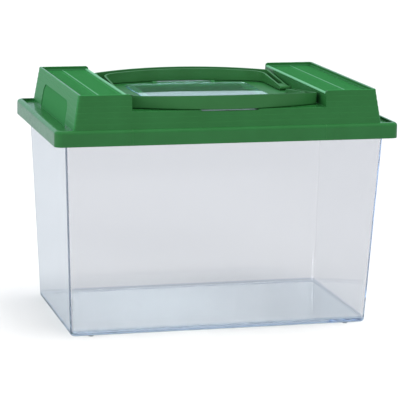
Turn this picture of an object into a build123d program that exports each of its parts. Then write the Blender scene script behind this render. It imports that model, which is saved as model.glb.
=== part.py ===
from build123d import *
import os
from math import sqrt

# Plastic pet keeper: a clear tank under a green vented lid, with a clear feeding hatch in the lid's
# central channel and two carrying handles that fold flat into it.
# Frame: origin on the ground under the middle of the tank, +X to the right, -Y to the front, +Z up.

os.makedirs("parts", exist_ok=True)

# ---------------------------------------------------------------------------------------------
# Driving dimensions, in millimetres
# ---------------------------------------------------------------------------------------------

# Tank
foot_height = 0.7
foot_radius = 2.2
foot_spacing_x = 228.0
foot_spacing_y = 143.5
tank_height = 175.8
tank_base_length = 263.6
tank_base_width = 150.3
tank_top_length = 278.8
tank_top_width = 176.4
tank_wall = 2.2
tank_floor = 3.6
tank_corner_radius = 5.0
tank_base_edge = 2.6
rim_thickness = 3.0
rim_side_gap = 0.6

# Lid: skirt and ledge
lid_length = 299.4
lid_width = 192.0
lid_wall = 2.2
lid_corner_radius = 6.5
lid_seat_gap = 0.2
skirt_drop = 9.0
skirt_edge = 3.0
lip_height = 2.3
lip_width = 4.4

# Lid: stepped hood
hood_base_length = 268.2
hood_base_width = 187.8
hood_top_length = 258.8
hood_top_width = 182.4
hood_height = 28.7
hood_wall = 2.0
hood_corner_radius = 3.0
tier_count = 6
tier_edge = 0.2
panel_width = 110.0
panel_height = 19.0
panel_depth = 0.5
panel_corner_radius = 9.0

# Lid: channel and trays
channel_length = 168.8
channel_depth = 14.3
tray_depth = 3.6
tray_lip = 2.3
lip_end_radius = 2.4
bead_width = 3.0
bead_height = 1.4
bead_edge = 1.1
mid_rib_x = 108.3
mid_rib_width = 1.1
mid_rib_height = 0.5
vent_width = 1.7
vent_pitch = 5.0
vent_side_gap = 2.0
vent_end_gap = 6.0

# Feeding hatch
hatch_length = 114.0
hatch_width = 132.0
hatch_thickness = 2.4
hatch_rise = 0.5
hatch_corner_radius = 10.0
hatch_edge = 0.4
hatch_side_gap = 0.4
hatch_seat_gap = 0.15
hatch_seat_width = 8.0
hatch_seat_thickness = 2.0
hatch_tab_length = 20.0
hatch_tab_reach = 3.2
hatch_tab_gap = 0.3
finger_dish_side = 4.0
finger_dish_front = 4.8
finger_dish_depth = 1.2
lift_scoop_length = 50.0
lift_scoop_depth = 0.9
lift_scoop_reach = 5.0
lift_scoop_radius = 4.0

# Hatch hinge
hinge_length = 50.0
hinge_offset = 3.0
hinge_sink = 0.3
barrel_radius = 2.0
barrel_gap = 0.4
hinge_pin_radius = 1.2
hinge_pin_length = 3.4
hinge_end_gap = 0.3
lug_thickness = 4.0
lug_front_gap = 0.5
hinge_box_wall = 1.5
pin_clearance = 0.05

# Carrying handles
handle_length = 164.0
handle_reach = 93.5
handle_arc_radius = 185.0
grip_width = 10.0
arm_width = 8.2
arm_eye_radius = 1.9
handle_wall = 1.8
handle_floor_gap = 0.3
handle_meet_gap = 0.4
handle_corner_radius = 3.0
handle_inner_radius = 13.0
handle_edge = 0.8
handle_hollow_start = 19.0
pivot_y = 10.1
handle_pin_radius = 1.5
boss_end_gap = 0.3

# ---------------------------------------------------------------------------------------------
# Heights and sizes that follow from them
# ---------------------------------------------------------------------------------------------

rim_top_z = foot_height + tank_height
seat_z = rim_top_z + lid_seat_gap
ledge_z = seat_z + lid_wall
skirt_bottom_z = seat_z - skirt_drop
skirt_top_z = ledge_z + lip_height
hood_top_z = skirt_top_z + hood_height
tier_height = hood_height / tier_count
channel_floor_z = hood_top_z - channel_depth
channel_x = channel_length / 2
tray_z = hood_top_z - tray_depth
tray_end_x = hood_top_length / 2 - tray_lip
tray_width = hood_top_width - 2 * tray_lip
hatch_top_z = channel_floor_z + hatch_rise
hatch_bottom_z = hatch_top_z - hatch_thickness
hatch_seat_z = hatch_bottom_z - hatch_seat_gap
hatch_rear_y = hatch_width / 2
hinge_y = hatch_rear_y + hinge_offset
hinge_z = channel_floor_z - hinge_sink
handle_bottom_z = channel_floor_z + handle_floor_gap
pivot_z = handle_bottom_z + arm_eye_radius
handle_top_z = pivot_z + pivot_y - handle_meet_gap
smallest_radius = 0.5
pick_band = 0.05


def tank_size(height, inset):
    """Length and width of the drafted tank at a height above its base, inset from its outside."""
    share = height / tank_height
    length = tank_base_length + (tank_top_length - tank_base_length) * share - 2 * inset
    width = tank_base_width + (tank_top_width - tank_base_width) * share - 2 * inset
    return length, width


def inner_radius(outer, wall):
    """Corner radius inside a wall of even thickness."""
    return max(outer - wall, smallest_radius)


def hood_size(height, inset):
    """Length and width of the drafted hood at a height above its base, inset from its outside."""
    share = height / hood_height
    length = hood_base_length + (hood_top_length - hood_base_length) * share - 2 * inset
    width = hood_base_width + (hood_top_width - hood_base_width) * share - 2 * inset
    return length, width


def end_wall_plane(side, depth):
    """Plane along a sloping end wall of the hood, sunk into it, with its height axis up the slope."""
    set_in = (hood_base_length - hood_top_length) / 2
    origin = (side * (hood_base_length / 2 - depth), 0, skirt_top_z)
    return Plane(origin=origin, x_dir=(0, side, 0), z_dir=(side * hood_height, 0, set_in))


# ---------------------------------------------------------------------------------------------
# Tank: drafted clear box with a thick floor, feet and an outward rim
# ---------------------------------------------------------------------------------------------

with BuildPart() as tank:
    with BuildSketch(Plane.XY.offset(foot_height)):
        RectangleRounded(*tank_size(0, 0), tank_corner_radius)
    with BuildSketch(Plane.XY.offset(rim_top_z)):
        RectangleRounded(*tank_size(tank_height, 0), tank_corner_radius)
    loft()
    fillet(tank.faces().sort_by(Axis.Z)[0].edges(), tank_base_edge)
    with BuildSketch(Plane.XY.offset(rim_top_z - rim_thickness)):
        rim_inset = lid_wall + rim_side_gap
        RectangleRounded(lid_length - 2 * rim_inset, lid_width - 2 * rim_inset,
                         inner_radius(lid_corner_radius, rim_inset))
    extrude(amount=rim_thickness)
    with BuildSketch(Plane.XY.offset(foot_height + tank_floor)):
        RectangleRounded(*tank_size(tank_floor, tank_wall), inner_radius(tank_corner_radius, tank_wall))
    with BuildSketch(Plane.XY.offset(rim_top_z)):
        RectangleRounded(*tank_size(tank_height, tank_wall), inner_radius(tank_corner_radius, tank_wall))
    loft(mode=Mode.SUBTRACT)
    with BuildSketch(Plane.XY):
        with GridLocations(foot_spacing_x, foot_spacing_y, 2, 2):
            Circle(foot_radius)
    extrude(amount=foot_height)

tank.part.label = "tank"
export_step(tank.part, "parts/tank.step")

# ---------------------------------------------------------------------------------------------
# Lid: skirt, stepped hood, channel, trays with vents, hatch seat and bearing holes, one moulding
# ---------------------------------------------------------------------------------------------

end_slope_length = sqrt(hood_height**2 + ((hood_base_length - hood_top_length) / 2) ** 2)
panel_foot = lip_height * end_slope_length / hood_height
tray_underside_z = tray_z - lid_wall
floor_underside_z = channel_floor_z - lid_wall

with BuildPart() as hood_cavity:
    # the hollow under the hood follows its slope, one wall inside it
    with BuildSketch(Plane.XY.offset(seat_z)):
        RectangleRounded(*hood_size(0, hood_wall), hood_corner_radius)
    with BuildSketch(Plane.XY.offset(tray_underside_z)):
        RectangleRounded(*hood_size(tray_underside_z - skirt_top_z, hood_wall), hood_corner_radius)
    loft()
    # the channel's floor and its two side walls stay
    with BuildSketch(Plane.XY.offset(floor_underside_z)):
        Rectangle(channel_length + 2 * lid_wall, lid_width)
    extrude(amount=channel_depth, mode=Mode.SUBTRACT)
    # so does the back of each sunk end panel
    for side in (-1, 1):
        with BuildSketch(end_wall_plane(side, panel_depth + hood_wall)):
            with Locations((0, (panel_height - panel_foot) / 2)):
                Rectangle(panel_width + 2 * hood_wall, panel_height + panel_foot + 2 * hood_wall)
        extrude(amount=2 * (panel_depth + hood_wall), mode=Mode.SUBTRACT)

hatch_pocket_length = hatch_length + 2 * hatch_side_gap
hatch_pocket_width = hatch_width + 2 * hatch_side_gap
hatch_pocket_radius = hatch_corner_radius + hatch_side_gap
hinge_pocket_length = hinge_length + 2 * hinge_end_gap
hinge_pocket_end_y = hinge_y + barrel_radius + barrel_gap
hinge_pocket_z = hinge_z - barrel_radius - barrel_gap
lug_x = hinge_pocket_length / 2
lug_radius = hinge_offset - lug_front_gap

with BuildPart() as lid:
    # skirt with its rounded top edge
    with BuildSketch(Plane.XY.offset(skirt_bottom_z)):
        RectangleRounded(lid_length, lid_width, lid_corner_radius)
    extrude(amount=skirt_top_z - skirt_bottom_z)
    fillet(lid.faces().sort_by(Axis.Z)[-1].edges(), skirt_edge)
    # ledge sunk inside an upstanding lip
    with BuildSketch(Plane.XY.offset(ledge_z)):
        RectangleRounded(lid_length - 2 * lip_width, lid_width - 2 * lip_width,
                         inner_radius(lid_corner_radius, lip_width))
    extrude(amount=lip_height, mode=Mode.SUBTRACT)
    # hood: an upright foot, then equal drafted courses, each set in by a small bevel along its top
    with BuildSketch(Plane.XY.offset(ledge_z)):
        RectangleRounded(*hood_size(0, 0), hood_corner_radius)
    for tier in range(tier_count):
        course_foot = tier * tier_height
        course_head = course_foot + tier_height
        with BuildSketch(Plane.XY.offset(skirt_top_z + course_foot)):
            RectangleRounded(*hood_size(course_foot, 0), hood_corner_radius)
        with BuildSketch(Plane.XY.offset(skirt_top_z + course_head - tier_edge)):
            RectangleRounded(*hood_size(course_head, -tier_edge), hood_corner_radius)
    with BuildSketch(Plane.XY.offset(hood_top_z)):
        RectangleRounded(*hood_size(hood_height, 0), hood_corner_radius)
    loft(ruled=True)
    # open underside: inside of the skirt, then inside of the hood
    with BuildSketch(Plane.XY.offset(skirt_bottom_z)):
        RectangleRounded(lid_length - 2 * lid_wall, lid_width - 2 * lid_wall,
                         inner_radius(lid_corner_radius, lid_wall))
    extrude(amount=skirt_drop, mode=Mode.SUBTRACT)
    add(hood_cavity.part, mode=Mode.SUBTRACT)
    # hatch seat and hinge box under the channel floor
    with BuildSketch(Plane.XY.offset(hatch_seat_z - hatch_seat_thickness)):
        RectangleRounded(hatch_pocket_length + 2 * lid_wall, hatch_pocket_width + 2 * lid_wall,
                         hatch_pocket_radius + lid_wall)
    extrude(amount=channel_floor_z - hatch_seat_z + hatch_seat_thickness)
    with BuildSketch(Plane.XY.offset(hinge_pocket_z - hinge_box_wall)):
        box_end_y = hinge_pocket_end_y + hinge_box_wall
        box_start_y = hatch_rear_y - hatch_seat_width
        with Locations((0, (box_start_y + box_end_y) / 2)):
            Rectangle(hinge_pocket_length + 2 * lug_thickness, box_end_y - box_start_y)
    extrude(amount=channel_floor_z - hinge_pocket_z + hinge_box_wall)
    # channel from front to back
    with BuildSketch(Plane.XY.offset(channel_floor_z)):
        Rectangle(channel_length, lid_width)
    extrude(amount=channel_depth, mode=Mode.SUBTRACT)
    # trays: the block tops are sunk to the bead first, then to the tray inside it
    bead_top_z = tray_z + bead_height
    for side in (-1, 1):
        with BuildSketch(Plane.XY.offset(bead_top_z)):
            with Locations((side * (channel_x + tray_end_x) / 2, 0)):
                Rectangle(tray_end_x - channel_x, tray_width)
        extrude(amount=tray_depth, mode=Mode.SUBTRACT)
        with BuildSketch(Plane.XY.offset(tray_z)):
            with Locations((side * (channel_x + bead_width + tray_end_x) / 2, 0)):
                Rectangle(tray_end_x - channel_x - bead_width, tray_width)
        extrude(amount=tray_depth, mode=Mode.SUBTRACT)
    long_edges = lid.edges().filter_by(Axis.Y)
    bead_edges = long_edges.filter_by_position(Axis.Z, bead_top_z - pick_band, bead_top_z + pick_band)
    bead_end_x = channel_x + bead_width + pick_band
    fillet(bead_edges.filter_by(lambda edge: abs(edge.center().X) < bead_end_x), bead_edge)
    long_edges = lid.edges().filter_by(Axis.Y)
    lip_ends = long_edges.filter_by_position(Axis.Z, hood_top_z - pick_band, hood_top_z + pick_band)
    fillet(lip_ends.filter_by(lambda edge: abs(edge.center().X) < channel_x + pick_band), lip_end_radius)
    # one slim rib along each tray
    with BuildSketch(Plane.XY.offset(tray_z)):
        with Locations((-mid_rib_x, 0), (mid_rib_x, 0)):
            Rectangle(mid_rib_width, tray_width)
    extrude(amount=mid_rib_height)
    # ventilation slits, in two columns on each tray
    vent_rows = int((tray_width - 2 * vent_end_gap) / vent_pitch) + 1
    vent_columns = [(channel_x + bead_width, mid_rib_x - mid_rib_width / 2),
                    (mid_rib_x + mid_rib_width / 2, tray_end_x)]
    with BuildSketch(Plane.XY.offset(tray_z)):
        for column_start_x, column_end_x in vent_columns:
            column_x = (column_start_x + column_end_x) / 2
            with Locations((-column_x, 0), (column_x, 0)):
                with GridLocations(0, vent_pitch, 1, vent_rows):
                    Rectangle(column_end_x - column_start_x - 2 * vent_side_gap, vent_width)
    extrude(amount=-lid_wall, mode=Mode.SUBTRACT)
    # shallow sunk panel in the middle of each end wall, round at its upper corners
    for side in (-1, 1):
        with BuildSketch(end_wall_plane(side, panel_depth)) as panel:
            with Locations((0, (panel_height - panel_foot) / 2)):
                Rectangle(panel_width, panel_height + panel_foot)
            fillet(panel.vertices().group_by(Axis.Y)[-1], panel_corner_radius)
        extrude(amount=panel_depth + hood_corner_radius, dir=(side, 0, 0), mode=Mode.SUBTRACT)
    # through opening, the sunk seat of the hatch, and the pocket of its hinge
    with BuildSketch(Plane.XY.offset(channel_floor_z)):
        RectangleRounded(hatch_length - 2 * hatch_seat_width, hatch_width - 2 * hatch_seat_width,
                         inner_radius(hatch_corner_radius, hatch_seat_width))
    extrude(amount=-channel_depth, mode=Mode.SUBTRACT)
    with BuildSketch(Plane.XY.offset(hatch_seat_z)):
        RectangleRounded(hatch_pocket_length, hatch_pocket_width, hatch_pocket_radius)
    extrude(amount=channel_floor_z - hatch_seat_z, mode=Mode.SUBTRACT)
    with BuildSketch(Plane.XY.offset(hinge_pocket_z)):
        with Locations((0, (hatch_rear_y + hinge_pocket_end_y) / 2)):
            Rectangle(hinge_pocket_length, hinge_pocket_end_y - hatch_rear_y)
    extrude(amount=channel_floor_z - hinge_pocket_z, mode=Mode.SUBTRACT)
    # two lugs that carry the pins of the hatch
    for lug_plane_x in (-lug_x - lug_thickness, lug_x):
        with BuildSketch(Plane.YZ.offset(lug_plane_x)):
            with Locations((hinge_y, hinge_z)):
                Circle(lug_radius)
            with Locations((hinge_y, (hinge_z + hinge_pocket_z) / 2)):
                Rectangle(2 * lug_radius, hinge_z - hinge_pocket_z)
        extrude(amount=lug_thickness)
    with BuildSketch(Plane.YZ.offset(-lug_x - hinge_pin_length)):
        with Locations((hinge_y, hinge_z)):
            Circle(hinge_pin_radius + pin_clearance)
    extrude(amount=2 * (lug_x + hinge_pin_length), mode=Mode.SUBTRACT)
    # shallow dish that lets a fingertip under the tab of the hatch
    with BuildSketch(Plane.XY.offset(channel_floor_z)):
        with Locations((0, -hatch_pocket_width / 2)):
            Ellipse(hatch_tab_length / 2 + finger_dish_side, hatch_tab_reach + finger_dish_front)
    extrude(amount=-finger_dish_depth, mode=Mode.SUBTRACT)
    # scoops in the middle of both sills, which let the fingers under a folded handle
    scoop_start_y = handle_reach - grip_width - lift_scoop_reach
    scoop_end_y = hood_base_width / 2 + lift_scoop_radius
    with BuildSketch(Plane.XY.offset(channel_floor_z)):
        for side in (-1, 1):
            with Locations((0, side * (scoop_start_y + scoop_end_y) / 2)):
                RectangleRounded(lift_scoop_length, scoop_end_y - scoop_start_y, lift_scoop_radius)
    extrude(amount=-lift_scoop_depth, mode=Mode.SUBTRACT)
    # bearing holes of the four handle pins in the channel's side walls
    with BuildSketch(Plane.YZ.offset(-channel_x - lid_wall)):
        with Locations((-pivot_y, pivot_z), (pivot_y, pivot_z)):
            Circle(handle_pin_radius + pin_clearance)
    extrude(amount=channel_length + 2 * lid_wall, mode=Mode.SUBTRACT)

lid.part.label = "lid"
export_step(lid.part, "parts/lid.step")

# ---------------------------------------------------------------------------------------------
# Hatch: clear plate with a barrel, two moulded pins and a fingertip tab
# ---------------------------------------------------------------------------------------------

with BuildPart() as hatch:
    with BuildSketch(Plane.XY.offset(hatch_bottom_z)):
        RectangleRounded(hatch_length, hatch_width, hatch_corner_radius)
    extrude(amount=hatch_thickness)
    chamfer(hatch.faces().sort_by(Axis.Z)[-1].edges(), hatch_edge)
    # tongue to the barrel
    with BuildSketch(Plane.XY.offset(hatch_bottom_z)):
        tongue_length = hinge_offset + hatch_edge + barrel_radius / 2
        with Locations((0, hinge_y - tongue_length / 2)):
            Rectangle(hinge_length, tongue_length)
    extrude(amount=hatch_thickness)
    with BuildSketch(Plane.YZ.offset(-hinge_length / 2)):
        with Locations((hinge_y, hinge_z)):
            Circle(barrel_radius)
    extrude(amount=hinge_length)
    with BuildSketch(Plane.YZ.offset(-lug_x - hinge_pin_length)):
        with Locations((hinge_y, hinge_z)):
            Circle(hinge_pin_radius)
    extrude(amount=2 * (lug_x + hinge_pin_length))
    # tab that hangs into the dish
    with BuildSketch(Plane.XY.offset(hatch_top_z)):
        with Locations((0, -hatch_width / 2)):
            RectangleRounded(hatch_tab_length, 2 * hatch_tab_reach, hatch_tab_reach / 2)
    extrude(amount=hatch_tab_gap - finger_dish_depth - hatch_rise)

hatch.part.label = "hatch"
export_step(hatch.part, "parts/hatch.step")

# ---------------------------------------------------------------------------------------------
# Handles: U-section bails that lie flat in the channel and meet as one grip when they are raised
# ---------------------------------------------------------------------------------------------

handle_x = handle_length / 2
arm_inner_x = handle_x - arm_width
arc_centre_y = handle_arc_radius - handle_reach
top_slope = (handle_top_z - pivot_z - arm_eye_radius) / (handle_reach - pivot_y)


def bail_outline(inset, arm_end_y):
    """Plan of the front bail as a closed band, drawn in by an inset, its arms ending at arm_end_y."""
    outer_arc = handle_arc_radius - inset
    inner_arc = handle_arc_radius - grip_width + inset
    outer_x = handle_x - inset
    inner_x = arm_inner_x + inset
    outer_y = arc_centre_y - sqrt(outer_arc**2 - outer_x**2)
    inner_y = arc_centre_y - sqrt(inner_arc**2 - inner_x**2)
    with BuildSketch() as outline:
        with BuildLine():
            ThreePointArc((outer_x, outer_y), (0, arc_centre_y - outer_arc), (-outer_x, outer_y))
            Polyline((-outer_x, outer_y), (-outer_x, arm_end_y), (-inner_x, arm_end_y), (-inner_x, inner_y))
            ThreePointArc((-inner_x, inner_y), (0, arc_centre_y - inner_arc), (inner_x, inner_y))
            Polyline((inner_x, inner_y), (inner_x, arm_end_y), (outer_x, arm_end_y), (outer_x, outer_y))
        make_face()
        outer_corners = outline.vertices().sort_by(lambda corner: abs(corner.Y - outer_y))[:2]
        fillet(outer_corners, inner_radius(handle_corner_radius, inset))
        bend = Vector(inner_x, inner_y)
        by_bend = outline.vertices().sort_by(lambda corner: abs(Vector(abs(corner.X), corner.Y) - bend))
        fillet(by_bend[:2], handle_inner_radius + inset)
    return outline.sketch


with BuildPart() as front_handle:
    with BuildSketch(Plane.XY.offset(handle_bottom_z)):
        add(bail_outline(0, -pivot_y))
    extrude(amount=handle_top_z - handle_bottom_z)
    grip_bottom_edges = front_handle.faces().sort_by(Axis.Z)[0].edges()
    fillet(grip_bottom_edges.filter_by_position(Axis.Y, -handle_reach, -2 * pivot_y), handle_edge)
    with BuildSketch(Plane.XY.offset(handle_bottom_z + handle_wall)):
        add(bail_outline(handle_wall, -handle_hollow_start))
    extrude(amount=handle_top_z - handle_bottom_z, mode=Mode.SUBTRACT)
    # the top falls towards the pivots, so that the raised grips close on each other
    eye_top = (0, -pivot_y, pivot_z + arm_eye_radius)
    split(bisect_by=Plane(origin=eye_top, x_dir=(1, 0, 0), z_dir=(0, top_slope, 1)), keep=Keep.BOTTOM)
    # round eyes at the arms' ends, then boss and pin outside them
    for side in (-1, 1):
        with BuildSketch(Plane.YZ.offset(side * arm_inner_x)):
            with Locations((-pivot_y, pivot_z)):
                Circle(arm_eye_radius)
        extrude(amount=side * (channel_x - boss_end_gap - arm_inner_x))
        with BuildSketch(Plane.YZ.offset(side * arm_inner_x)):
            with Locations((-pivot_y, pivot_z)):
                Circle(handle_pin_radius)
        extrude(amount=side * (channel_x + lid_wall - arm_inner_x))

front_handle.part.label = "front_handle"
export_step(front_handle.part, "parts/front_handle.step")

with BuildPart() as rear_handle:
    mirror(front_handle.part, about=Plane.XZ)

rear_handle.part.label = "rear_handle"
export_step(rear_handle.part, "parts/rear_handle.step")
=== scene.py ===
import math

import bpy
from mathutils import Matrix, Vector


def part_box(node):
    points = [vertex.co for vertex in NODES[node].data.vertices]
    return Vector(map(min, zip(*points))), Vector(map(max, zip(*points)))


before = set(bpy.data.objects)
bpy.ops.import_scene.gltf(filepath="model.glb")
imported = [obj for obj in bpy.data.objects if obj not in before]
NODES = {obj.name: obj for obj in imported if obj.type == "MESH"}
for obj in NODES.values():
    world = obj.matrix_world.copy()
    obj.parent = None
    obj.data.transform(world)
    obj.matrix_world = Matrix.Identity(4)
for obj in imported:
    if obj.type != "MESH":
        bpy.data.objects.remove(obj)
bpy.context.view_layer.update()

MM = 0.001

# ---------------------------------------------------------------------------------------------
# Camera, at the photograph's viewing angle
# ---------------------------------------------------------------------------------------------

CAMERA_AZIMUTH = math.radians(-14.82)
CAMERA_ELEVATION = math.radians(11.23)
CAMERA_ROLL = math.radians(0.9)
CAMERA_PLACE = Vector((-0.4609, -1.7393, 0.45735))
CAMERA_LENS_MM = 185.355
CAMERA_SENSOR_MM = 36.0
CAMERA_NEAR = 0.05
CAMERA_FAR = 100.0


def add_camera():
    """A long lens looking down a little from the front left."""
    data = bpy.data.cameras.new("camera")
    data.lens = CAMERA_LENS_MM
    data.sensor_width = CAMERA_SENSOR_MM
    data.clip_start = CAMERA_NEAR
    data.clip_end = CAMERA_FAR
    camera = bpy.data.objects.new("camera", data)
    back = Vector((
        math.sin(CAMERA_AZIMUTH) * math.cos(CAMERA_ELEVATION),
        -math.cos(CAMERA_AZIMUTH) * math.cos(CAMERA_ELEVATION),
        math.sin(CAMERA_ELEVATION),
    ))
    right = (-back).cross(Vector((0, 0, 1))).normalized()
    up = right.cross(-back)
    turned_right = math.cos(CAMERA_ROLL) * right + math.sin(CAMERA_ROLL) * up
    turned_up = math.cos(CAMERA_ROLL) * up - math.sin(CAMERA_ROLL) * right
    turn = Matrix((turned_right, turned_up, back)).transposed()
    camera.matrix_world = Matrix.Translation(CAMERA_PLACE) @ turn.to_4x4()
    bpy.context.scene.collection.objects.link(camera)
    bpy.context.scene.camera = camera


# ---------------------------------------------------------------------------------------------
# Node helpers
# ---------------------------------------------------------------------------------------------

# over this width a mask goes from 0 to 1
MASK_BORDER = 0.2 * MM


def new_material(name):
    """An empty node material with its tree and output node."""
    material = bpy.data.materials.new(name)
    material.use_nodes = True
    tree = material.node_tree
    tree.nodes.clear()
    return material, tree, tree.nodes.new("ShaderNodeOutputMaterial")


def feed(tree, value, socket):
    """Gives a socket a number, a colour of three numbers or another node's output."""
    if isinstance(value, tuple):
        socket.default_value = (*value, 1)
    elif isinstance(value, (int, float)):
        socket.default_value = value
    else:
        tree.links.new(value, socket)


def object_coordinates(tree):
    return tree.nodes.new("ShaderNodeTexCoord").outputs["Object"]


def noise(tree, coordinates, scale, detail, roughness=0.5):
    node = tree.nodes.new("ShaderNodeTexNoise")
    feed(tree, scale, node.inputs["Scale"])
    feed(tree, detail, node.inputs["Detail"])
    feed(tree, roughness, node.inputs["Roughness"])
    feed(tree, coordinates, node.inputs["Vector"])
    return node.outputs["Fac"]


def remap(tree, value, low, high, to_low, to_high):
    """Maps low to high onto to_low to to_high and stays within them."""
    node = tree.nodes.new("ShaderNodeMapRange")
    feed(tree, low, node.inputs["From Min"])
    feed(tree, high, node.inputs["From Max"])
    feed(tree, to_low, node.inputs["To Min"])
    feed(tree, to_high, node.inputs["To Max"])
    feed(tree, value, node.inputs["Value"])
    return node.outputs["Result"]


def colour_sockets(sockets):
    """The sockets of a mix node that carry colours."""
    return [socket for socket in sockets if socket.type == "RGBA"]


def blend_colours(tree, share, *colours):
    """The first of two colours where the share is 0, and the second where it is 1."""
    node = tree.nodes.new("ShaderNodeMix")
    node.data_type = "RGBA"
    feed(tree, share, node.inputs["Factor"])
    for colour, socket in zip(colours, colour_sockets(node.inputs)):
        feed(tree, colour, socket)
    return colour_sockets(node.outputs)[0]


def maths(tree, operation, *values):
    """One math node. Each value is a number or the output of another node."""
    node = tree.nodes.new("ShaderNodeMath")
    node.operation = operation
    for socket, value in zip(node.inputs, values):
        feed(tree, value, socket)
    return node.outputs["Value"]


def product(tree, first, *others):
    for other in others:
        first = maths(tree, "MULTIPLY", first, other)
    return first


def largest(tree, first, *others):
    for other in others:
        first = maths(tree, "MAXIMUM", first, other)
    return first


def step_up(tree, value, place, softness=MASK_BORDER):
    """0 below a place and 1 above it."""
    return remap(tree, value, place - softness / 2, place + softness / 2, 0.0, 1.0)


def step_down(tree, value, place, softness=MASK_BORDER):
    """1 below a place and 0 above it."""
    return remap(tree, value, place - softness / 2, place + softness / 2, 1.0, 0.0)


def axis_distances(tree, coordinates):
    """Distance from the middle along x and along y, and the height."""
    split = tree.nodes.new("ShaderNodeSeparateXYZ")
    feed(tree, coordinates, split.inputs["Vector"])
    return (maths(tree, "ABSOLUTE", split.outputs["X"]),
            maths(tree, "ABSOLUTE", split.outputs["Y"]),
            split.outputs["Z"])


def mirrored_share(tree, path):
    """1 for a ray that comes off a glossy surface, 0 for one that comes through a clear one."""
    passed = maths(tree, "SUBTRACT", 1.0, path.outputs["Is Transmission Ray"])
    return product(tree, path.outputs["Is Glossy Ray"], passed)


def bump(tree, height, strength, distance, normal=None):
    node = tree.nodes.new("ShaderNodeBump")
    feed(tree, strength, node.inputs["Strength"])
    feed(tree, distance, node.inputs["Distance"])
    feed(tree, height, node.inputs["Height"])
    if normal is not None:
        feed(tree, normal, node.inputs["Normal"])
    return node.outputs["Normal"]


# ---------------------------------------------------------------------------------------------
# Green plastic
# ---------------------------------------------------------------------------------------------

GREEN_IOR = 1.49
GREEN_SPECULAR = 0.25
EDGE_SAMPLES = 6
EDGE_RADIUS = 0.30 * MM
CLOUD_SCALE = 38.0
CLOUD_RANGE = (0.35, 0.65)
PATCH_SCALE = 120.0
PATCH_RANGE = (0.3, 0.7)
GREEN_RIPPLE_SCALE = 45.0
GREEN_RIPPLE_DEPTH = 0.05 * MM
RIPPLE_STRENGTH = 0.1
GRAIN_SCALE = 2600.0
GRAIN_STRENGTH = 0.35
GRAIN_DEPTH = 0.03 * MM

HANDLE_GREENS = ((0.021, 0.106, 0.026), (0.023, 0.117, 0.030))
HANDLE_ROUGHNESS = (0.42, 0.52)
LID_GREENS = ((0.015, 0.102, 0.022), (0.017, 0.113, 0.026))
LID_ROUGHNESS = (0.18, 0.26)
SATIN_ROUGHNESS = 0.48
MATTE_ROUGHNESS = 0.92
MATTE_GREEN = (0.018, 0.156, 0.035)
# painted light: the end walls get a paler green because their sides catch more light than the front
END_WALL_PAINTED_LIGHT_GREEN = (0.024, 0.158, 0.043)
# painted highlights: the ribs and beads get paler greens that stand in for the light along their rounded
# tops
RIB_PAINTED_HIGHLIGHT_GREEN = (0.066, 0.242, 0.108)
BEAD_PAINTED_HIGHLIGHT_GREEN = (0.098, 0.297, 0.150)

LID_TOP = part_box("lid")[1][2]

# the floors of the two trays, with the rib and the bead that stand on each
TRAY_FLOOR = LID_TOP - 3.6 * MM
TRAY_INNER_X = 87.4 * MM
TRAY_OUTER_X = 127.1 * MM
TRAY_HALF_WIDTH = 88.9 * MM
BEAD_INNER_X = 84.2 * MM
RAISED_FOOT = TRAY_FLOOR + 0.3 * MM
RAISED_TOP = TRAY_FLOOR + 1.6 * MM

# the sunk panels of the end walls
PANEL_HALF_WIDTH = 55.0 * MM
PANEL_CORNER = 9.0 * MM
PANEL_INNER_X = 128.5 * MM
PANEL_OUTER_X = 134.2 * MM
PANEL_FOOT = LID_TOP - 31.0 * MM
PANEL_TOP = LID_TOP - 9.7 * MM

# the outer walls of the hood
HOOD_FOOT = LID_TOP - 28.7 * MM
HOOD_WALL_X = 128.5 * MM
HOOD_WALL_Y = 90.5 * MM

# the two end walls of the hood, which lean inwards by 4.7 mm over their height of 28.7 mm
END_WALL_LEAN = 4.7 / 28.7
END_WALL_TOP_X = 128.6 * MM
END_WALL_FOOT_X = 136.0 * MM
END_WALL_HALF_WIDTH = 93.3 * MM

# the channel that the handles lie in
CHANNEL_TOP = LID_TOP - 4.0 * MM
CHANNEL_HALF_LENGTH = 84.8 * MM
CHANNEL_WALL_FOOT = 83.8 * MM
CHANNEL_HALF_WIDTH = 61.0 * MM


def tray_mask(tree, x, y, z):
    """1 on the tray floors, 0 on the ribs and beads that stand on them."""
    off_floor = maths(tree, "ABSOLUTE", maths(tree, "SUBTRACT", z, TRAY_FLOOR))
    return product(tree,
                   step_up(tree, x, TRAY_INNER_X),
                   step_down(tree, x, TRAY_OUTER_X),
                   step_down(tree, y, TRAY_HALF_WIDTH),
                   step_down(tree, off_floor, MASK_BORDER))


def raised_mask(tree, x, y, z):
    """1 on the rib in the middle of each tray and on the bead along its inner side."""
    return product(tree,
                   step_up(tree, x, BEAD_INNER_X),
                   step_down(tree, x, TRAY_OUTER_X),
                   step_down(tree, y, TRAY_HALF_WIDTH),
                   step_up(tree, z, RAISED_FOOT),
                   step_down(tree, z, RAISED_TOP))


def panel_mask(tree, x, y, z):
    """1 on the sunk panel of each end wall, whose upper corners are round."""
    past_side = largest(tree, maths(tree, "SUBTRACT", y, PANEL_HALF_WIDTH - PANEL_CORNER), 0.0)
    past_top = largest(tree, maths(tree, "SUBTRACT", z, PANEL_TOP - PANEL_CORNER), 0.0)
    squares = maths(tree, "ADD", product(tree, past_side, past_side), product(tree, past_top, past_top))
    return product(tree,
                   step_down(tree, maths(tree, "SQRT", squares), PANEL_CORNER),
                   step_up(tree, x, PANEL_INNER_X),
                   step_down(tree, x, PANEL_OUTER_X),
                   step_up(tree, z, PANEL_FOOT))


def hood_wall_mask(tree, x, y, z):
    """1 on the four outer walls of the hood."""
    outside = largest(tree, step_up(tree, x, HOOD_WALL_X), step_up(tree, y, HOOD_WALL_Y))
    return product(tree, outside, step_up(tree, z, HOOD_FOOT))


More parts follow.
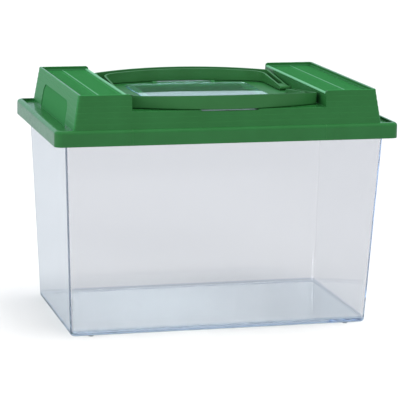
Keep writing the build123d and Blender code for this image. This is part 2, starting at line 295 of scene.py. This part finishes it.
def end_wall_mask(tree, x, y, z):
    """1 on the two end walls of the hood and on their panels."""
    leaned = product(tree, maths(tree, "SUBTRACT", LID_TOP, z), END_WALL_LEAN)
    return product(tree,
                   step_up(tree, maths(tree, "SUBTRACT", x, leaned), END_WALL_TOP_X),
                   step_down(tree, x, END_WALL_FOOT_X),
                   step_down(tree, y, END_WALL_HALF_WIDTH),
                   step_up(tree, z, PANEL_FOOT))


def channel_mask(tree, x, y, z):
    """1 on the end walls of the channel and on its floor inside the folded handles."""
    inside = largest(tree, step_up(tree, x, CHANNEL_WALL_FOOT), step_down(tree, y, CHANNEL_HALF_WIDTH))
    return product(tree, inside, step_down(tree, x, CHANNEL_HALF_LENGTH), step_down(tree, z, CHANNEL_TOP))


def end_lip_mask(tree, y, z):
    """1 on top of the lips that close the trays at the front and at the back."""
    return product(tree, step_up(tree, y, TRAY_HALF_WIDTH), step_up(tree, z, LID_TOP - MASK_BORDER))


def rounded_edges(tree):
    """Normals that round each sharp edge a little, so that edges catch the light."""
    node = tree.nodes.new("ShaderNodeBevel")
    node.samples = EDGE_SAMPLES
    feed(tree, EDGE_RADIUS, node.inputs["Radius"])
    return node.outputs["Normal"]


def moulded_surface(tree, coordinates, greens, roughness_range):
    """Colour, roughness and normals of a moulding, with faint clouds, patches and ripples."""
    clouds = noise(tree, coordinates, CLOUD_SCALE, 3.0)
    colour = blend_colours(tree, remap(tree, clouds, *CLOUD_RANGE, 0.0, 1.0), *greens)
    patches = noise(tree, coordinates, PATCH_SCALE, 4.0, 0.6)
    roughness = remap(tree, patches, *PATCH_RANGE, *roughness_range)
    ripple = noise(tree, coordinates, GREEN_RIPPLE_SCALE, 1.0)
    normal = bump(tree, ripple, RIPPLE_STRENGTH, GREEN_RIPPLE_DEPTH, rounded_edges(tree))
    return colour, roughness, normal


def green_plastic(tree, output, colour, roughness, normal):
    """Moulded polypropylene with a weak gloss."""
    shader = tree.nodes.new("ShaderNodeBsdfPrincipled")
    feed(tree, colour, shader.inputs["Base Color"])
    feed(tree, roughness, shader.inputs["Roughness"])
    feed(tree, normal, shader.inputs["Normal"])
    feed(tree, GREEN_IOR, shader.inputs["IOR"])
    feed(tree, GREEN_SPECULAR, shader.inputs["Specular IOR Level"])
    tree.links.new(shader.outputs["BSDF"], output.inputs["Surface"])


def handle_green():
    """The two handles: one satin green all over."""
    material, tree, output = new_material("handle_green")
    surface = moulded_surface(tree, object_coordinates(tree), HANDLE_GREENS, HANDLE_ROUGHNESS)
    green_plastic(tree, output, *surface)
    return material


def lid_green():
    """The lid: a glossy skirt and ledge, a satin hood and channel, and matte, grained trays, end
    panels and end lips. The end walls are painted paler as painted light on their sides, and the ribs and
    most of all the beads are painted paler as painted highlights."""
    material, tree, output = new_material("lid_green")
    coordinates = object_coordinates(tree)
    colour, roughness, normal = moulded_surface(tree, coordinates, LID_GREENS, LID_ROUGHNESS)
    x, y, z = axis_distances(tree, coordinates)
    raised = raised_mask(tree, x, y, z)
    bead = product(tree, raised, step_down(tree, x, TRAY_INNER_X))
    satin = largest(tree, hood_wall_mask(tree, x, y, z), channel_mask(tree, x, y, z), raised)
    matte = largest(tree, tray_mask(tree, x, y, z), panel_mask(tree, x, y, z), end_lip_mask(tree, y, z))
    roughness = largest(tree, roughness,
                        product(tree, satin, SATIN_ROUGHNESS),
                        product(tree, matte, MATTE_ROUGHNESS))
    colour = blend_colours(tree, matte, colour, MATTE_GREEN)
    # painted light: the end walls and their panels are made paler, as their sides catch more light
    colour = blend_colours(tree, end_wall_mask(tree, x, y, z), colour, END_WALL_PAINTED_LIGHT_GREEN)
    # painted highlights: the ribs and most of all the beads are made paler
    colour = blend_colours(tree, raised, colour, RIB_PAINTED_HIGHLIGHT_GREEN)
    colour = blend_colours(tree, bead, colour, BEAD_PAINTED_HIGHLIGHT_GREEN)
    grain = product(tree, noise(tree, coordinates, GRAIN_SCALE, 2.0), matte)
    normal = bump(tree, grain, GRAIN_STRENGTH, GRAIN_DEPTH, normal)
    green_plastic(tree, output, colour, roughness, normal)
    return material


# ---------------------------------------------------------------------------------------------
# Clear plastic
# ---------------------------------------------------------------------------------------------

CLEAR_IOR = 1.45
SHADOW_TINT = (0.93, 0.94, 0.95)
HAZE_SCALE = 60.0
HAZE_RANGE = (0.3, 0.7)
HAZE_ROUGHNESS = (0.0, 0.02)
CLEAR_RIPPLE_SCALE = 22.0
CLEAR_RIPPLE_DEPTH = 0.3 * MM

TANK_TINT = (0.97, 0.973, 0.982)
TANK_CLEARNESS = 1.0
TANK_ABSORPTION = (0.77, 0.85, 0.95)
TANK_DENSITY = 11.0
TANK_FLOOR_TOP = 4.4 * MM
TANK_FOOT_TOP = 6.2 * MM
FOOT_SOFTNESS = 0.3 * MM
# painted shade: the floor of the tank is tinted darker to stand in for the shade on the paper beneath it
FLOOR_PAINTED_SHADE_TINT = (0.74, 0.78, 0.78)
FOOT_TINT = (0.72, 0.77, 0.84)

HATCH_TINT = (0.80, 0.97, 0.97)
HATCH_CLEARNESS = 0.985
HATCH_ABSORPTION = (0.35, 0.75, 0.90)
HATCH_DENSITY = 30.0


def clear_plastic(tree, output, tint, clearness, absorption, density):
    """Clear moulded polystyrene, coloured a little in its thickness. Lamps shine through it."""
    coordinates = object_coordinates(tree)
    haze = noise(tree, coordinates, HAZE_SCALE, 3.0)
    ripple = noise(tree, coordinates, CLEAR_RIPPLE_SCALE, 1.0)
    shader = tree.nodes.new("ShaderNodeBsdfPrincipled")
    feed(tree, tint, shader.inputs["Base Color"])
    feed(tree, remap(tree, haze, *HAZE_RANGE, *HAZE_ROUGHNESS), shader.inputs["Roughness"])
    feed(tree, bump(tree, ripple, RIPPLE_STRENGTH, CLEAR_RIPPLE_DEPTH), shader.inputs["Normal"])
    feed(tree, clearness, shader.inputs["Transmission Weight"])
    feed(tree, CLEAR_IOR, shader.inputs["IOR"])
    open_way = tree.nodes.new("ShaderNodeBsdfTransparent")
    feed(tree, SHADOW_TINT, open_way.inputs["Color"])
    path = tree.nodes.new("ShaderNodeLightPath")
    mix = tree.nodes.new("ShaderNodeMixShader")
    feed(tree, path.outputs["Is Shadow Ray"], mix.inputs["Fac"])
    feed(tree, shader.outputs["BSDF"], mix.inputs[1])
    feed(tree, open_way.outputs["BSDF"], mix.inputs[2])
    tree.links.new(mix.outputs["Shader"], output.inputs["Surface"])
    inside = tree.nodes.new("ShaderNodeVolumeAbsorption")
    feed(tree, absorption, inside.inputs["Color"])
    feed(tree, density, inside.inputs["Density"])
    tree.links.new(inside.outputs["Volume"], output.inputs["Volume"])


def tank_clear():
    """The tank: a faint blue in its walls, darker and bluer towards the foot, and a floor tinted darker
    as painted shade for the paper beneath it.
    """
    material, tree, output = new_material("tank_clear")
    height = axis_distances(tree, object_coordinates(tree))[2]
    foot = step_down(tree, height, TANK_FOOT_TOP, FOOT_SOFTNESS)
    floor = step_down(tree, height, TANK_FLOOR_TOP, FOOT_SOFTNESS)
    tint = blend_colours(tree, foot, TANK_TINT, FOOT_TINT)
    # painted shade: the floor plate is darkened where the paper under the tank lies in shade
    tint = blend_colours(tree, floor, tint, FLOOR_PAINTED_SHADE_TINT)
    clear_plastic(tree, output, tint, TANK_CLEARNESS, TANK_ABSORPTION, TANK_DENSITY)
    return material


def hatch_clear():
    """The hatch: a pale blue-green."""
    material, tree, output = new_material("hatch_clear")
    clear_plastic(tree, output, HATCH_TINT, HATCH_CLEARNESS, HATCH_ABSORPTION, HATCH_DENSITY)
    return material


def dress(node, material):
    """Gives a CAD node its one material."""
    mesh = NODES[node].data
    mesh.materials.clear()
    mesh.materials.append(material)


# ---------------------------------------------------------------------------------------------
# Stage: floor and soft light
# ---------------------------------------------------------------------------------------------

# The photograph is cut out on white, and its room was greyer than that. So the paper is white to
# the camera and grey to other rays, and mirrored rays see the paper and the sky in cooler tones.
FLOOR_HALF = 30.0
PAPER_ROUGHNESS = 0.9
PAPER_COLOUR = (0.64, 0.63, 0.61)
PAPER_COLOUR_INDIRECT = (0.42, 0.415, 0.41)
PAPER_COLOUR_MIRRORED = (0.44, 0.48, 0.50)
SKY_COLOUR = (0.95, 1.0, 1.10)
SKY_COLOUR_MIRRORED = (0.66, 0.82, 0.85)
SKY_COLOUR_MIRRORED_BRIGHT = (0.69, 0.95, 1.00)
SKY_BRIGHT_SIDE = (-0.62, 0.78, 0.0)
SKY_LOW = 0.75
SKY_HIGH = 1.0
KEY_PLACE = (0.20, -0.08, 1.0)
KEY_ANGLE = math.radians(38.0)
KEY_STRENGTH = 2.25
FILL_SIZE = 1.4
FILL_TARGET = (0.0, 0.0, 0.15)
FRONT_FILL_PLACE = (0.7, -2.2, 1.4)
FRONT_FILL_POWER = 28.0
LEFT_FILL_PLACE = (-2.3, -0.3, 0.8)
LEFT_FILL_POWER = 37.0
LIGHT_BOUNCES = 64


def floor_paper():
    """Pale seamless paper, white to the camera and grey to all other rays."""
    material, tree, output = new_material("floor_paper")
    path = tree.nodes.new("ShaderNodeLightPath")
    indirect = blend_colours(
        tree, mirrored_share(tree, path), PAPER_COLOUR_INDIRECT, PAPER_COLOUR_MIRRORED)
    colour = blend_colours(tree, path.outputs["Is Camera Ray"], indirect, PAPER_COLOUR)
    shader = tree.nodes.new("ShaderNodeBsdfPrincipled")
    feed(tree, colour, shader.inputs["Base Color"])
    feed(tree, PAPER_ROUGHNESS, shader.inputs["Roughness"])
    feed(tree, 0.0, shader.inputs["Specular IOR Level"])
    tree.links.new(shader.outputs["BSDF"], output.inputs["Surface"])
    return material


def add_floor():
    mesh = bpy.data.meshes.new("floor")
    corners = [(-FLOOR_HALF, -FLOOR_HALF, 0), (FLOOR_HALF, -FLOOR_HALF, 0),
               (FLOOR_HALF, FLOOR_HALF, 0), (-FLOOR_HALF, FLOOR_HALF, 0)]
    mesh.from_pydata(corners, [], [(0, 1, 2, 3)])
    mesh.materials.append(floor_paper())
    floor = bpy.data.objects.new("floor", mesh)
    bpy.context.scene.collection.objects.link(floor)


def add_sky():
    """A pale room, brighter behind the object and to its left than where the photographer stands."""
    world = bpy.data.worlds.new("studio")
    world.use_nodes = True
    tree = world.node_tree
    tree.nodes.clear()
    towards = tree.nodes.new("ShaderNodeVectorMath")
    towards.operation = "DOT_PRODUCT"
    tree.links.new(tree.nodes.new("ShaderNodeTexCoord").outputs["Generated"], towards.inputs[0])
    towards.inputs[1].default_value = SKY_BRIGHT_SIDE
    side = towards.outputs["Value"]
    bright_share = remap(tree, side, -1.0, 1.0, 0.0, 1.0)
    mirrored = blend_colours(tree, bright_share, SKY_COLOUR_MIRRORED, SKY_COLOUR_MIRRORED_BRIGHT)
    path = tree.nodes.new("ShaderNodeLightPath")
    colour = blend_colours(tree, mirrored_share(tree, path), SKY_COLOUR, mirrored)
    background = tree.nodes.new("ShaderNodeBackground")
    feed(tree, colour, background.inputs["Color"])
    feed(tree, remap(tree, side, -1.0, 1.0, SKY_LOW, SKY_HIGH), background.inputs["Strength"])
    output = tree.nodes.new("ShaderNodeOutputWorld")
    tree.links.new(background.outputs["Background"], output.inputs["Surface"])
    bpy.context.scene.world = world


def add_lamp(name, data, place, target):
    """Hangs a lamp at a place, aimed at a target. Glossy surfaces don't mirror it."""
    lamp = bpy.data.objects.new(name, data)
    lamp.location = place
    lamp.rotation_mode = "QUATERNION"
    lamp.rotation_quaternion = (Vector(target) - Vector(place)).to_track_quat("-Z", "Y")
    lamp.visible_glossy = False
    bpy.context.scene.collection.objects.link(lamp)


def add_key():
    """One large soft light from above, a little from the right and from the front."""
    data = bpy.data.lights.new("key", "SUN")
    data.energy = KEY_STRENGTH
    data.angle = KEY_ANGLE
    add_lamp("key", data, KEY_PLACE, (0, 0, 0))


def add_fill(name, place, power):
    """A large square softbox aimed at the object."""
    data = bpy.data.lights.new(name, "AREA")
    data.size = FILL_SIZE
    data.energy = power
    add_lamp(name, data, place, FILL_TARGET)


# ---------------------------------------------------------------------------------------------
# The scene
# ---------------------------------------------------------------------------------------------

scene = bpy.context.scene
scene.view_settings.view_transform = "Standard"
scene.view_settings.look = "None"
scene.cycles.max_bounces = LIGHT_BOUNCES
scene.cycles.glossy_bounces = LIGHT_BOUNCES
scene.cycles.transmission_bounces = LIGHT_BOUNCES
scene.cycles.transparent_max_bounces = LIGHT_BOUNCES

add_camera()
add_floor()
add_sky()
add_key()
add_fill("front_fill", FRONT_FILL_PLACE, FRONT_FILL_POWER)
add_fill("left_fill", LEFT_FILL_PLACE, LEFT_FILL_POWER)

handle_material = handle_green()
dress("lid", lid_green())
dress("front_handle", handle_material)
dress("rear_handle", handle_material)
dress("tank", tank_clear())
dress("hatch", hatch_clear())
